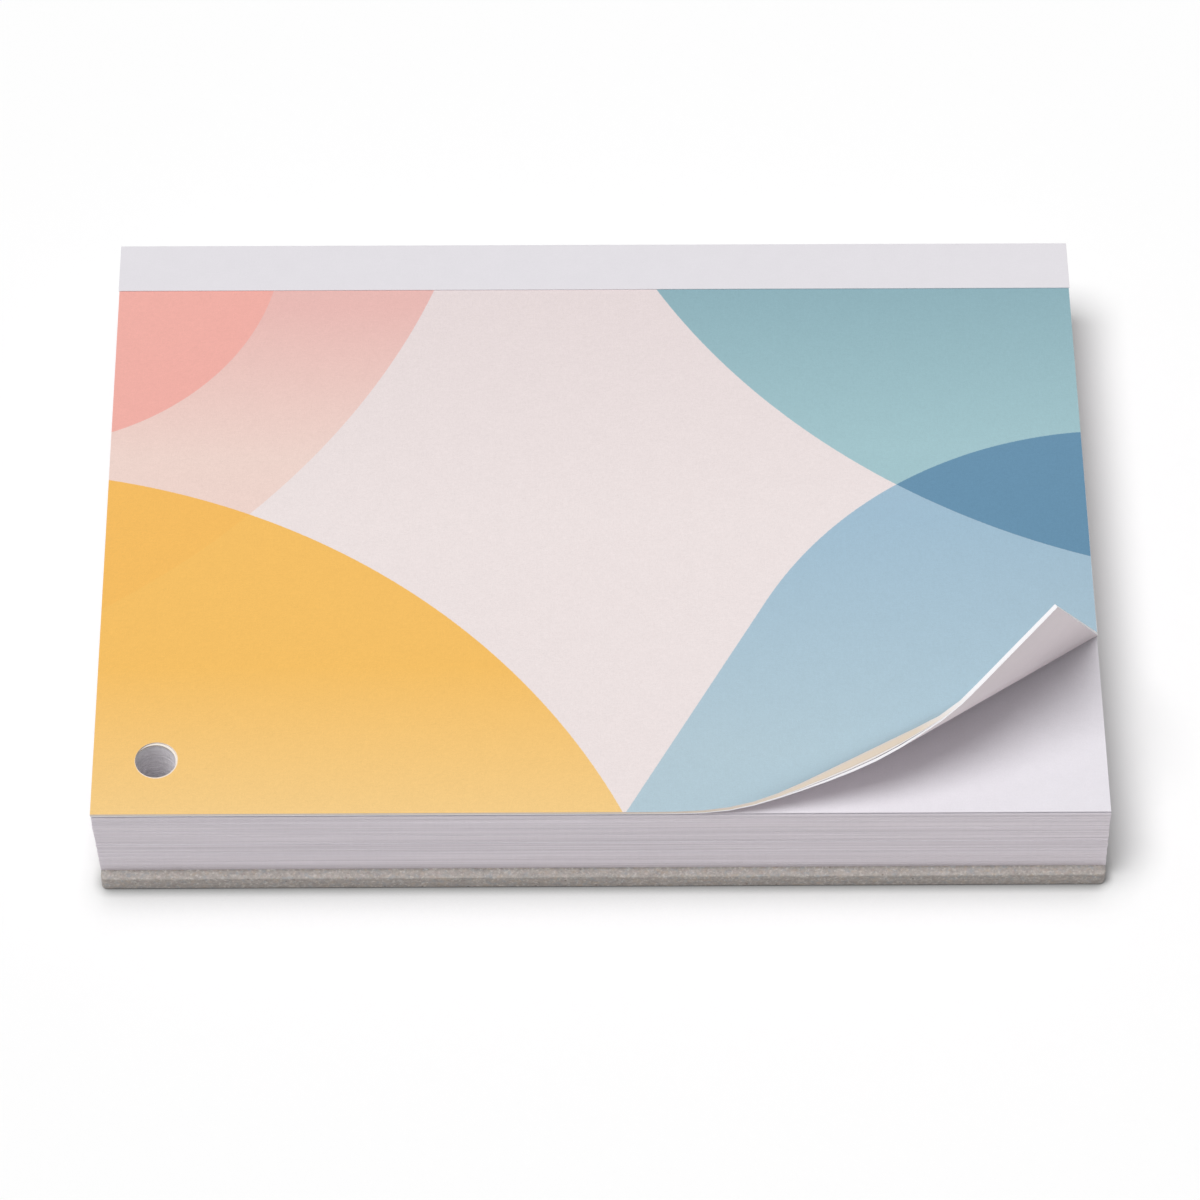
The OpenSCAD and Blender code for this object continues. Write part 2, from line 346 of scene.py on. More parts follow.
class Value:
    """A socket, or a number, whose arithmetic adds Math nodes."""

    def __init__(self, recipe, socket):
        self.recipe = recipe
        self.socket = socket

    def math(self, operation, *others, clamp=False):
        links = {0: self}
        links.update({place: other for place, other in enumerate(others, 1)})
        settings = {"operation": operation, "use_clamp": clamp}
        return self.recipe.node("ShaderNodeMath", settings, links).out()

    def __add__(self, other):
        return self.math("ADD", other)

    def __sub__(self, other):
        return self.math("SUBTRACT", other)

    def __mul__(self, other):
        return self.math("MULTIPLY", other)

    def __truediv__(self, other):
        return self.math("DIVIDE", other)

    def __rsub__(self, other):
        return self.recipe.node("ShaderNodeMath", {"operation": "SUBTRACT"}, {0: other, 1: self}).out()

    __radd__ = __add__
    __rmul__ = __mul__

    def clamp(self):
        return self.math("ADD", 0.0, clamp=True)

    def larger(self, other):
        return self.math("MAXIMUM", other)

    def above(self, edge, width):
        """0 well under an edge and 1 well over it, with a ramp of a given width between."""
        return ((self - edge) / width + 0.5).clamp()


class Node:
    """A node, and its outputs as values."""

    def __init__(self, recipe, node):
        self.recipe = recipe
        self.node = node

    def out(self, name=0):
        return Value(self.recipe, self.node.outputs[name])


class Recipe:
    """The node tree of one material."""

    def __init__(self, name):
        self.material = bpy.data.materials.new(name)
        self.material.use_nodes = True
        self.tree = self.material.node_tree
        self.tree.nodes.clear()

    def node(self, kind, settings=None, sockets=None):
        """Adds a node of a type, with its settings first and then its sockets' values or links."""
        made = self.tree.nodes.new(kind)
        for setting, value in (settings or {}).items():
            setattr(made, setting, value)
        for name, value in (sockets or {}).items():
            socket = made.inputs[name] if isinstance(name, int) else self.named(made, name)
            if isinstance(value, Value):
                self.tree.links.new(value.socket, socket)
            else:
                socket.default_value = value
        return Node(self, made)

    @staticmethod
    def named(made, name):
        """The input in use that has this name or identifier."""
        usable = (socket for socket in made.inputs if socket.enabled)
        return next(socket for socket in usable if name in (socket.identifier, socket.name))

    def object_place(self):
        return self.node("ShaderNodeTexCoord").out("Object")

    def flat_place(self):
        return self.node("ShaderNodeUVMap", {"uv_map": FLAT_MAP}).out("UV")

    def stretched(self, place, scale):
        """A place with each axis multiplied, which makes a pattern finer along it."""
        return self.node("ShaderNodeVectorMath", {"operation": "MULTIPLY"}, {0: place, 1: scale}).out()

    def noise(self, place, grains_per_mm, detail=2.0, roughness=0.5):
        """Noise from 0 to 1 about 0.5."""
        sockets = {"Vector": place, "Scale": grains_per_mm / MM, "Detail": detail, "Roughness": roughness}
        return self.node("ShaderNodeTexNoise", {"noise_dimensions": "3D"}, sockets).out("Fac")

    def cells(self, place, grains_per_mm):
        """Distance to the middle of a cell, in cells, and the cell's random colour."""
        sockets = {"Vector": place, "Scale": grains_per_mm / MM}
        voronoi = self.node("ShaderNodeTexVoronoi", {"feature": "F1"}, sockets)
        return voronoi.out("Distance"), voronoi.out("Color")

    def split(self, vector):
        made = self.node("ShaderNodeSeparateXYZ", None, {0: vector})
        return made.out(0), made.out(1), made.out(2)

    def mix(self, factor, under, over, kind="MIX"):
        """One colour over another."""
        settings = {"data_type": "RGBA", "blend_type": kind}
        sockets = {"Factor_Float": factor, "A_Color": self.rgba(under), "B_Color": self.rgba(over)}
        return self.node("ShaderNodeMix", settings, sockets).out(2)

    @staticmethod
    def rgba(given):
        return given if isinstance(given, Value) else (*tuple(given)[:3], 1.0)

    def toned(self, tint, tone):
        """A colour made lighter or darker by a value about 1."""
        grey = self.node("ShaderNodeCombineXYZ", None, {0: tone, 1: tone, 2: tone}).out()
        return self.mix(1.0, tint, grey, "MULTIPLY")

    def disc(self, place, centre, radius, ragged, soft):
        """1 inside a disc and 0 outside, with a slightly ragged edge."""
        settings = {"operation": "DISTANCE"}
        distance = self.node("ShaderNodeVectorMath", settings, {0: place, 1: (*centre, 0.0)}).out("Value")
        return (radius - distance + ragged).above(0.0, soft)

    def finish(self, tint, roughness, bump_height=None, bump_mm=0.0, extras=None):
        sockets = {"Base Color": self.rgba(tint), "Roughness": roughness, "Specular IOR Level": 0.3}
        sockets.update(extras or {})
        if bump_height is not None:
            raised = {"Height": bump_height, "Distance": bump_mm * MM, "Strength": 1.0}
            sockets["Normal"] = self.node("ShaderNodeBump", None, raised).out()
        shader = self.node("ShaderNodeBsdfPrincipled", None, sockets)
        self.node("ShaderNodeOutputMaterial", None, {"Surface": shader.out()})
        return self.material


def paper_grain(recipe, place):
    """The cloudy formation, the fine grain and the fibres of uncoated paper."""
    cloud = recipe.noise(place, 0.35, 3.0, 0.55)
    grain = recipe.noise(place, 5.5, 3.0, 0.6)
    fibres_across = recipe.noise(recipe.stretched(place, (0.25, 1.0, 1.0)), 4.0, 1.0)
    fibres_down = recipe.noise(recipe.stretched(place, (1.0, 0.25, 1.0)), 4.0, 1.0)
    return cloud, grain, fibres_across.larger(fibres_down)


def plain_paper(name, tint, uv=False, mottle=0.05, bump_mm=0.012):
    """Uncoated paper of one tint."""
    recipe = Recipe(name)
    place = recipe.flat_place() if uv else recipe.object_place()
    cloud, grain, fibres = paper_grain(recipe, place)
    tone = 1.0 + (cloud - 0.5) * mottle + (grain - 0.5) * (mottle * 2.0) + (fibres - 0.55) * mottle
    height = grain * 0.6 + fibres * 0.4
    return recipe.finish(recipe.toned(tint, tone), 0.82 + (grain - 0.5) * 0.12, height, bump_mm)


def page_edge_paper(name, tint):
    """Cut edges of a stack of sheets: each sheet has its own tone, which changes slowly along it."""
    recipe = Recipe(name)
    place = recipe.object_place()
    layers = recipe.noise(recipe.stretched(place, (0.004, 0.004, 1.0)), 3.4, 2.0, 0.7)
    bands = recipe.noise(recipe.stretched(place, (0.01, 0.01, 1.0)), 0.8, 2.0)
    cut = recipe.noise(recipe.stretched(place, (1.0, 1.0, 0.12)), 3.0, 2.0)
    tone = 1.01 + (layers - 0.5) * 0.66 + (bands - 0.5) * 0.12 + (cut - 0.5) * 0.06
    return recipe.finish(recipe.toned(tint, tone), 0.85 + (cut - 0.5) * 0.1, layers * 0.7 + cut * 0.3, 0.05)


def fanned_cut(name, tint, foot):
    """Cut edges of fanned sheets, from the topmost down to a paler lowest one, with a thin line of painted shade
    between them.
    """
    recipe = Recipe(name)
    place = recipe.flat_place()
    down = recipe.split(recipe.node("ShaderNodeUVMap", {"uv_map": CUT_MAP}).out("UV"))[1]
    waver = recipe.noise(place, 0.15, 2.0)
    level = down + (waver - 0.5) * 0.12
    # Painted shade: a thin dark line across the cut edges, standing for the shadow in the gap between the sheets
    painted_gap_shade = 1.0 - ((level - 0.72) * 16.0).math("ABSOLUTE").clamp()
    grain = recipe.noise(place, 5.0, 2.0)
    tone = 1.0 - painted_gap_shade * 0.16 + (grain - 0.5) * 0.06
    surface = recipe.mix(level.above(0.78, 0.06), tint, foot)
    by_the_tip = recipe.split(place)[0].above(top_right_x() - 21.0 * MM, 10.0 * MM)
    surface = recipe.mix(by_the_tip, surface, bpy.context.scene.notepad_paper.white_cut)
    return recipe.finish(recipe.toned(surface, tone), 0.85 + (grain - 0.5) * 0.1)


# Fibres of other papers in the greyboard, that tint it in patches: grains a millimetre, strength and colour
GREYBOARD_FIBRES = (
    (1.1, 0.32, shown(190, 168, 142)),
    (1.3, 0.36, shown(150, 164, 176)),
    (1.7, 0.20, shown(186, 156, 154)),
    (2.1, 0.45, shown(222, 218, 212)),
)
GREYBOARD_SPECK = shown(112, 100, 92)


def greyboard(name, tint, edge):
    """Pressed waste-paper board: mottled grey with fibres, dark specks and a few tinted flecks, and painted shade
    where the sheets stand on it.
    """
    recipe = Recipe(name)
    place = recipe.object_place()
    blotch = recipe.noise(place, 0.5, 3.0, 0.6)
    grit = recipe.noise(place, 2.6, 3.0, 0.75)
    layered = recipe.stretched(place, (0.4, 0.4, 1.4) if edge else (0.45, 1.0, 1.0))
    strands = recipe.noise(layered, 1.7, 3.0, 0.7)
    tone = 1.0 + (blotch - 0.5) * 0.35 + (grit - 0.5) * 0.85 + (strands - 0.5) * 0.6
    # Painted shade: the board darkens from about 0.45 mm in front of the sheets' foot inwards, a dark line standing
    # for the shadow in the gap where they stand on it
    painted_foot_shade = recipe.split(place)[1].above(BLOCK_LOW.y - 0.3 * MM, 0.3 * MM)
    surface = recipe.toned(tint, tone * (1.0 - painted_foot_shade * 0.22))
    for patch, (scale, strength, fibre) in enumerate(GREYBOARD_FIBRES):
        sockets = {0: place, 1: (patch * 0.3, 0.1, 0.2)}
        shifted = recipe.node("ShaderNodeVectorMath", {"operation": "ADD"}, sockets)
        tuft = recipe.noise(shifted.out(), scale, 3.0, 0.65)
        surface = recipe.mix(tuft.above(0.6, 0.14) * strength, surface, fibre)
    distance, token = recipe.cells(place, 0.9)
    speck = (1.0 - distance.above(0.16, 0.08)) * recipe.split(token)[0].above(0.88, 0.02)
    surface = recipe.mix(speck * 0.6, surface, GREYBOARD_SPECK)
    height = grit * 0.5 + strands * 0.35 + blotch * 0.15
    return recipe.finish(surface, 0.88 + (grit - 0.5) * 0.12, height, 0.16 if edge else 0.09)


def dried_glue(name, tint):
    """Dried padding glue: pale, slightly lumpy and a little shiny."""
    recipe = Recipe(name)
    place = recipe.object_place()
    lumps = recipe.noise(place, 1.1, 3.0, 0.6)
    tone = 1.0 + (lumps - 0.5) * 0.18
    return recipe.finish(recipe.toned(tint, tone), 0.42 + (lumps - 0.5) * 0.3, lumps, 0.1)


def printed_cover(name):
    """Overlapping discs of flat ink on blush card."""
    ink = bpy.context.scene.notepad_print
    lift = bpy.context.scene.notepad_lift
    left, right, free, glued = CARD_LOW.x, top_right_x(), CARD_LOW.y, CARD_HIGH.y
    recipe = Recipe(name)
    place = recipe.flat_place()
    cloud, grain, fibres = paper_grain(recipe, place)
    across, along, _ = recipe.split(place)
    ragged = (recipe.noise(place, 3.0, 3.0, 0.6) - 0.5) * (0.16 * MM)
    soft = 0.12 * MM

    coral_at = (left + CORAL_AT[0] * MM, glued + CORAL_AT[1] * MM)
    pink_at = (left + PINK_AT[0] * MM, glued + PINK_AT[1] * MM)
    yellow_at = (left + YELLOW_AT[0] * MM, free + YELLOW_AT[1] * MM)
    teal_at = (right + TEAL_AT[0] * MM, TEAL_AT[1] * MM)
    blue_at = (right + BLUE_AT[0] * MM, BLUE_AT[1] * MM)
    in_coral = recipe.disc(place, coral_at, ink.coral_radius, ragged, soft)
    in_pink = recipe.disc(place, pink_at, ink.pink_radius, ragged, soft)
    in_yellow = recipe.disc(place, yellow_at, ink.yellow_radius, ragged, soft)
    in_teal = recipe.disc(place, teal_at, ink.teal_radius, ragged, soft)
    in_blue_disc = recipe.disc(place, blue_at, ink.blue_radius, ragged, soft)

    # The straight flank of the pale blue field, from the foot of the lift to where it touches the disc
    foot = Vector((right - lift.front, free))
    away = Vector(blue_at) - foot
    heading = math.atan2(away.y, away.x) + math.asin(ink.blue_radius / away.length)
    flank = Vector((math.cos(heading), math.sin(heading)))
    touch = foot + flank * math.sqrt(away.length ** 2 - ink.blue_radius ** 2)
    right_of_flank = (across - foot.x) * flank.y - (along - foot.y) * flank.x
    under = Vector(blue_at) - touch
    under.normalize()
    below_touch = (across - touch.x) * under.y - (along - touch.y) * under.x
    in_flank = (right_of_flank + ragged).above(0.0, soft) * below_touch.above(0.0, soft)
    in_blue = in_blue_disc.larger(in_flank)

    fade = ((along - free) / (glued - free)).clamp()
    surface = recipe.mix(fade.above(0.75, 0.5), ink.ground, ink.ground_back)
    surface = recipe.mix(in_teal, surface, recipe.mix(fade.above(0.78, 0.3), ink.teal, ink.teal_back))
    pale_blue = recipe.mix(fade.above(0.3, 0.4), ink.pale_blue_front, ink.pale_blue)
    surface = recipe.mix(in_blue * (1.0 - in_teal), surface, pale_blue)
    surface = recipe.mix(in_blue * in_teal, surface, ink.deep_blue)
    surface = recipe.mix(in_pink, surface, recipe.mix(fade.above(0.75, 0.28), ink.pink, ink.pink_back))
    yellow = recipe.mix(in_pink * 0.7, ink.yellow, ink.yellow_over_pink)
    surface = recipe.mix(in_coral, surface, ink.coral)
    surface = recipe.mix(in_yellow, surface, recipe.mix(fade.above(0.12, 0.25), ink.yellow_front, yellow))
    # The white rim that the punch leaves, wider at the right and in front: partly bare uninked paper, partly a
    # painted highlight on the hole's lit edge
    sheets = bpy.context.scene.notepad_sheets
    rim_at = Vector(HOLE["pos_m"]).xy + Vector((1.5, 0.9)) * sheets.hole_slip
    bare_rim_and_highlight = recipe.disc(place, rim_at, sheets.hole_radius + 0.08 * MM, ragged, soft)
    surface = recipe.mix(bare_rim_and_highlight * 0.65, surface, bpy.context.scene.notepad_paper.white_cut)
    speckle = recipe.noise(place, 1.6, 2.0, 0.7)
    tone = 1.012 + (cloud - 0.5) * 0.05 + (grain - 0.5) * 0.22
    tone = tone + (fibres - 0.55) * 0.1 + (speckle - 0.5) * 0.1
    height = grain * 0.6 + fibres * 0.4
    return recipe.finish(recipe.toned(surface, tone), 0.78 + (grain - 0.5) * 0.14, height, 0.014)


# The lifted corner


def top_right_x():
    return CARD_LOW.x + bpy.context.scene.notepad_sheets.page_width


def bump_shape(place):
    """1 at 0, and 0 from -1 and 1 outwards."""
    return math.cos(math.pi / 2 * place) ** 2 if abs(place) < 1 else 0.0


def fold_turn(place):
    """Turn of one fine fold at a share of the lifted edge."""
    lift = bpy.context.scene.notepad_lift
    first = lift.first_bend * bump_shape((place - lift.first_at) / lift.first_at) / lift.first_at
    second = lift.second_bend * bump_shape((place - lift.second_at) / lift.second_half) / lift.second_half
    return (first + second) / lift.steps


def fan_share(place):
    """How far the sheets are fanned out at a share of the lifted edge."""
    lift = bpy.context.scene.notepad_lift
    away = place - lift.fan_at
    return bump_shape(away / (lift.fan_opens if away < 0 else lift.fan_closes))


def lifted_sheets(name, materials, depth, thickness, drop=0.0, fan=0.0):
    """Sheets bent up at their right free corner, at a depth under the cover's top.

    At the lifted edge they drop away from the sheet over them, and fan out. The
    materials are those of their top, their underside and their cut edges.
    """
    lift = bpy.context.scene.notepad_lift
    left, right, free, glued, top = CARD_LOW.x, top_right_x(), CARD_LOW.y, CARD_HIGH.y, INK_HIGH.z
    piece = plate(name, (left, free), (right, glued), top)
    for material in materials:
        piece.data.materials.append(material)
    start = Vector((right - lift.front, free, top))
    tip = Vector((right + lift.corner_out, free, top))
    fan_point = Vector((right + lift.beyond, free + lift.side, top))
    steps = lift.steps
    fronts = [start.lerp(tip, i / steps) for i in range(steps)]

    edit()
    for i, front in enumerate(fronts):
        pick_all()
        bpy.ops.mesh.bisect(plane_co=front, plane_no=UP.cross(fan_point - front))
        if i == 0:
            pick_verts(piece, lambda vert: vert.co.x > right - MM and vert.co.y < free + MM)
            move((lift.corner_out, 0, 0))

    mesh = bmesh.from_edit_mesh(piece.data)
    flat_map = mesh.loops.layers.uv.new(FLAT_MAP)
    for face in mesh.faces:
        for loop in face.loops:
            loop[flat_map].uv = loop.vert.co.xy
    places, front_verts = {}, {}
    for vert in mesh.verts:
        ray = vert.co - fan_point
        on_front = fan_point + ray * ((free - fan_point.y) / ray.y) if ray.y < -MM else None
        place = (on_front.x - start.x) / (tip.x - start.x) if on_front else -1.0
        places[vert.index] = place
        if place > 0.5 / steps and vert.co.y < free + 0.01 * MM:
            front_verts[vert.index] = place
    bmesh.update_edit_mesh(piece.data)

    # The sheet is turned until a ruling lies along X, and what is beyond it is folded up
    facing = 0.0
    for i in reversed(range(steps)):
        along = fronts[i] - fan_point
        wanted = -math.atan2(along.y, along.x)
        pick_all()
        rotate(wanted - facing, "Z", fan_point)
        facing = wanted
        pick_verts(piece, lambda vert: places[vert.index] > (i + 0.5) / steps)
        rotate(fold_turn(i / steps), "X", fan_point)
    pick_all()
    rotate(-facing, "Z", fan_point)

    bpy.ops.transform.shrink_fatten(value=-depth)
    if drop:
        for i, place in front_verts.items():
            fall = drop * fan_share(place)
            if fall:
                pick_verts(piece, lambda vert: vert.index == i)
                mesh = bmesh.from_edit_mesh(piece.data)
                mesh.verts.ensure_lookup_table()
                move(-fall * mesh.verts[i].normal)
    done()
    points = len(piece.data.vertices)
    group = piece.vertex_groups.new(name="fan")
    for i in range(points):
        spread = fan * fan_share(front_verts[i]) if i in front_verts else 0.0
        group.add([i], (thickness + spread) / (thickness + fan), "REPLACE")
    finish_modifier(
        piece, "SOLIDIFY", "Paper", thickness=thickness + fan, offset=-1.0, use_even_offset=False,
        vertex_group=group.name, material_offset=1, material_offset_rim=2,
    )
    piece.vertex_groups.clear()
    cut_map = piece.data.uv_layers.new(name=CUT_MAP)
    for loop in piece.data.loops:
        cut_map.data[loop.index].uv = (0.0, 0.0 if loop.vertex_index < points else 1.0)
    return piece


class NOTEPAD_OT_backing_board(bpy.types.Operator):
    """Models the greyboard back with its softened edges"""

    bl_idname = "notepad.backing_board"
    bl_label = "Backing Board"

    def execute(self, context):
        sheets = context.scene.notepad_sheets
        papers = context.scene.notepad_paper
        board = plate("greyboard_back", BOARD_LOW, BOARD_HIGH, BOARD_LOW.z)
        edit()
        pick_all()
        extrude((0, 0, BOARD_HIGH.z - BOARD_LOW.z))
        pick_all()
        bpy.ops.mesh.normals_make_consistent(inside=False)
        pick_edges(
            board,
            lambda edge: abs(edge.verts[0].co.z - edge.verts[1].co.z) > MM
            and all(vert.co.y < BOARD_LOW.y + MM for vert in edge.verts),
        )
        bpy.ops.mesh.bevel(offset=sheets.board_corner, segments=6, affect="EDGES")
        done()
        for name, material in (
            ("greyboard_face", greyboard("greyboard_face", papers.greyboard, False)),
            ("greyboard_edge", greyboard("greyboard_edge", papers.board_edge, True)),
        ):
            board.data.materials.append(material)
        punch(board, 1)
        finish_modifier(
            board, "BEVEL", "Wear", width=sheets.board_wear, segments=3,
            limit_method="ANGLE", angle_limit=math.radians(60),
        )
        for face in board.data.polygons:
            if abs(face.normal.z) < 0.6:
                face.material_index = 1
        tidy_mesh(board, 12)
        settle(board, "backing_board", "backing_board")
        return {"FINISHED"}


class NOTEPAD_OT_page_block(bpy.types.Operator):
    """Models the flat sheets one by one, each a little out of line with its neighbours"""

    bl_idname = "notepad.page_block"
    bl_label = "Page Block"

    def execute(self, context):
        sheets = context.scene.notepad_sheets
        papers = context.scene.notepad_paper
        count = sheets.sheet_count
        pitch = (BLOCK_HIGH.z - BLOCK_LOW.z) / count
        half = sheets.page_width / 2
        block = plate("page_block_sheets", (-half, BLOCK_LOW.y), (half, BLOCK_HIGH.y), BLOCK_LOW.z)
        edit()
        pick_all()
        extrude((0, 0, pitch * 0.94))
        pick_all()
        bpy.ops.mesh.normals_make_consistent(inside=False)
        done()
        for material in (
            plain_paper("page_paper", papers.white_sheet),
            page_edge_paper("page_edges", papers.page_edges),
            # The hole's wall: the page edges again, painted lighter, as painted light
            page_edge_paper("hole_wall_painted_light", papers.hole_wall_painted_light),
        ):
            block.data.materials.append(material)
        punch(block, 2)
        for face in block.data.polygons:
            if abs(face.normal.z) < 0.5 and face.material_index != 2:
                face.material_index = 1
        points = len(block.data.vertices)
        finish_modifier(
            block, "ARRAY", "Stack", count=count, use_relative_offset=False, use_constant_offset=True,
            constant_offset_displace=(0, 0, pitch),
        )
        # Each sheet drifts with the one under it, and stands a little out of line by itself
        rng = random.Random(SHEET_SEED)
        drift = Vector((0, 0, 0))
        amount = sheets.unevenness
        middle = Vector(HOLE["pos_m"])
        for i in range(count):
            drift = drift * 0.9 + Vector((rng.uniform(-1, 1), rng.uniform(-1, 1), 0)) * amount * 0.35
            jitter = drift + Vector((rng.uniform(-1, 1), rng.uniform(-1, 1), 0)) * amount * 0.4
            lean = sheets.stack_lean * i / (count - 1)
            sunk = sheets.groove_depth if i >= count - 1 - sheets.groove_sheets and i < count - 1 else 0.0
            for vert in block.data.vertices[i * points:(i + 1) * points]:
                at_hole = math.hypot(vert.co.x - middle.x, vert.co.y - middle.y) < sheets.hole_radius * 1.2
                free_edge = vert.co.y < BLOCK_LOW.y + MM
                glued_edge = vert.co.y > BLOCK_HIGH.y - MM
                if at_hole:
                    vert.co += jitter * 0.5
                    continue
                vert.co.x += jitter.x - lean
                if free_edge:
                    vert.co.y += abs(jitter.y) + sunk
                elif glued_edge:
                    vert.co.y -= 0.02 * MM
        tidy_mesh(block, 30)
        settle(block, "page_block", "page_block")
        return {"FINISHED"}


class NOTEPAD_OT_loose_sheets(bpy.types.Operator):
    """Models the white and the cream sheets that lift with the cover"""

    bl_idname = "notepad.loose_sheets"
    bl_label = "Loose Sheets"

    def execute(self, context):
        lift = context.scene.notepad_lift
        papers = context.scene.notepad_paper
        for name, tint, cut, foot, high, low, drop, fan in (
            ("cream", papers.cream_sheet, papers.cream_cut, papers.cream_foot,
             CARD_LOW.z, CREAM_LOW.z, 0.0, lift.cream_fan),
            ("white", papers.white_sheet, papers.white_cut, papers.white_cut,
             CREAM_LOW.z, WHITE_LOW.z, lift.cream_fan + lift.sheet_gap, lift.white_fan),
        ):
            materials = (
                plain_paper(name + "_paper", tint, uv=True),
                plain_paper(name + "_back", papers.white_back, uv=True),
                fanned_cut(name + "_cut", cut, foot),
            )
            sheet = lifted_sheets(name + "_sheets", materials, INK_HIGH.z - high, high - low, drop, fan)
            punch(sheet, 2)
            tidy_mesh(sheet, 30)
            node = name + "_loose_sheets"
            settle(sheet, node, node)
        return {"FINISHED"}


class NOTEPAD_OT_cover(bpy.types.Operator):
    """Models the printed cover card with its lifted corner"""

    bl_idname = "notepad.cover"
    bl_label = "Cover"

    def execute(self, context):
        papers = context.scene.notepad_paper
        materials = (
            printed_cover("cover_print"),
            plain_paper("cover_back", papers.white_sheet, uv=True),
            fanned_cut("cover_cut", papers.cover_cut, papers.cover_cut),
        )
        cover = lifted_sheets("printed_cover", materials, 0.0, INK_HIGH.z - CARD_LOW.z)
        punch(cover, 2, side=1.0)
        tidy_mesh(cover, 30)
        inks = ("coral", "pink", "yellow", "teal", "deep_blue", "pale_blue")
        settle(cover, "cover_sheet", "cover_sheet", *("print_" + ink for ink in inks))
        return {"FINISHED"}


class NOTEPAD_OT_binding(bpy.types.Operator):
    """Models the dried glue on the spine and the paper strip folded over it"""

    bl_idname = "notepad.binding"
    bl_label = "Binding"

    def execute(self, context):
        sheets = context.scene.notepad_sheets
        papers = context.scene.notepad_paper
        front = BLOCK_HIGH.y - sheets.strip_flap
        outer = STRIP_HIGH.y - GLUE_HIGH.y
        fold_y = GLUE_HIGH.y
        lean = sheets.stack_lean
        strip = plate("paper_strip", (STRIP_LOW.x, front), (STRIP_HIGH.x - lean, fold_y), STRIP_HIGH.z)
        edit()
        pick_edges(strip, lambda edge: all(vert.co.y > fold_y - 0.1 * MM for vert in edge.verts))
        bpy.ops.mesh.spin(
            steps=8, angle=math.radians(90), center=(0, fold_y, STRIP_HIGH.z - outer), axis=(1, 0, 0), dupli=False
        )
        folded = bmesh.from_edit_mesh(strip.data).verts
        low = min(vert.co.z for vert in folded)
        if max(vert.co.y for vert in folded) < fold_y + 0.9 * outer:
            raise RuntimeError("the strip's fold turned the wrong way")
        for drop, shift in ((low - BOARD_HIGH.z, lean), (BOARD_HIGH.z - BOARD_LOW.z, 0.0)):
            floor_z = min(vert.co.z for vert in bmesh.from_edit_mesh(strip.data).verts)
            pick_edges(strip, lambda edge: all(vert.co.z < floor_z + 0.001 * MM for vert in edge.verts))
            extrude((shift, 0, -drop))
        pick_all()
        bpy.ops.mesh.normals_make_consistent(inside=False)
        mesh = bmesh.from_edit_mesh(strip.data)
        mesh.faces.ensure_lookup_table()
        flap = max(mesh.faces, key=lambda face: face.calc_center_median().z)
        if flap.normal.z < 0:
            bpy.ops.mesh.flip_normals()
        done()
        finish_modifier(strip, "SOLIDIFY", "Paper", thickness=sheets.strip_paper, offset=-1.0)
        finish_modifier(
            strip, "BEVEL", "Soft", width=0.045 * MM, segments=2, limit_method="ANGLE", angle_limit=math.radians(50)
        )
        strip.data.materials.append(plain_paper("strip_paper", papers.strip, mottle=0.04, bump_mm=0.02))
        tidy_mesh(strip, 5)
        settle(strip, "binding_strip", "binding_strip")

        glue = frame["nodes"]["glue_film"]
        glue.data.materials.clear()
        glue.data.materials.append(dried_glue("dried_glue", papers.glue))
        return {"FINISHED"}


# Stage


def aim(camera, target, elevation, yaw, roll, distance):
    """Puts a camera at a distance from a point, looking down at it."""
    back = Vector((math.sin(yaw) * math.cos(elevation), -math.cos(yaw) * math.cos(elevation), math.sin(elevation)))
    right = (-back).cross(UP).normalized()
    up = right.cross(-back)
    across = right * math.cos(roll) + up * math.sin(roll)
    upwards = up * math.cos(roll) - right * math.sin(roll)
    turned = Matrix((across, upwards, back)).transposed()
    camera.matrix_world = Matrix.Translation(target + back * distance) @ turned.to_4x4()


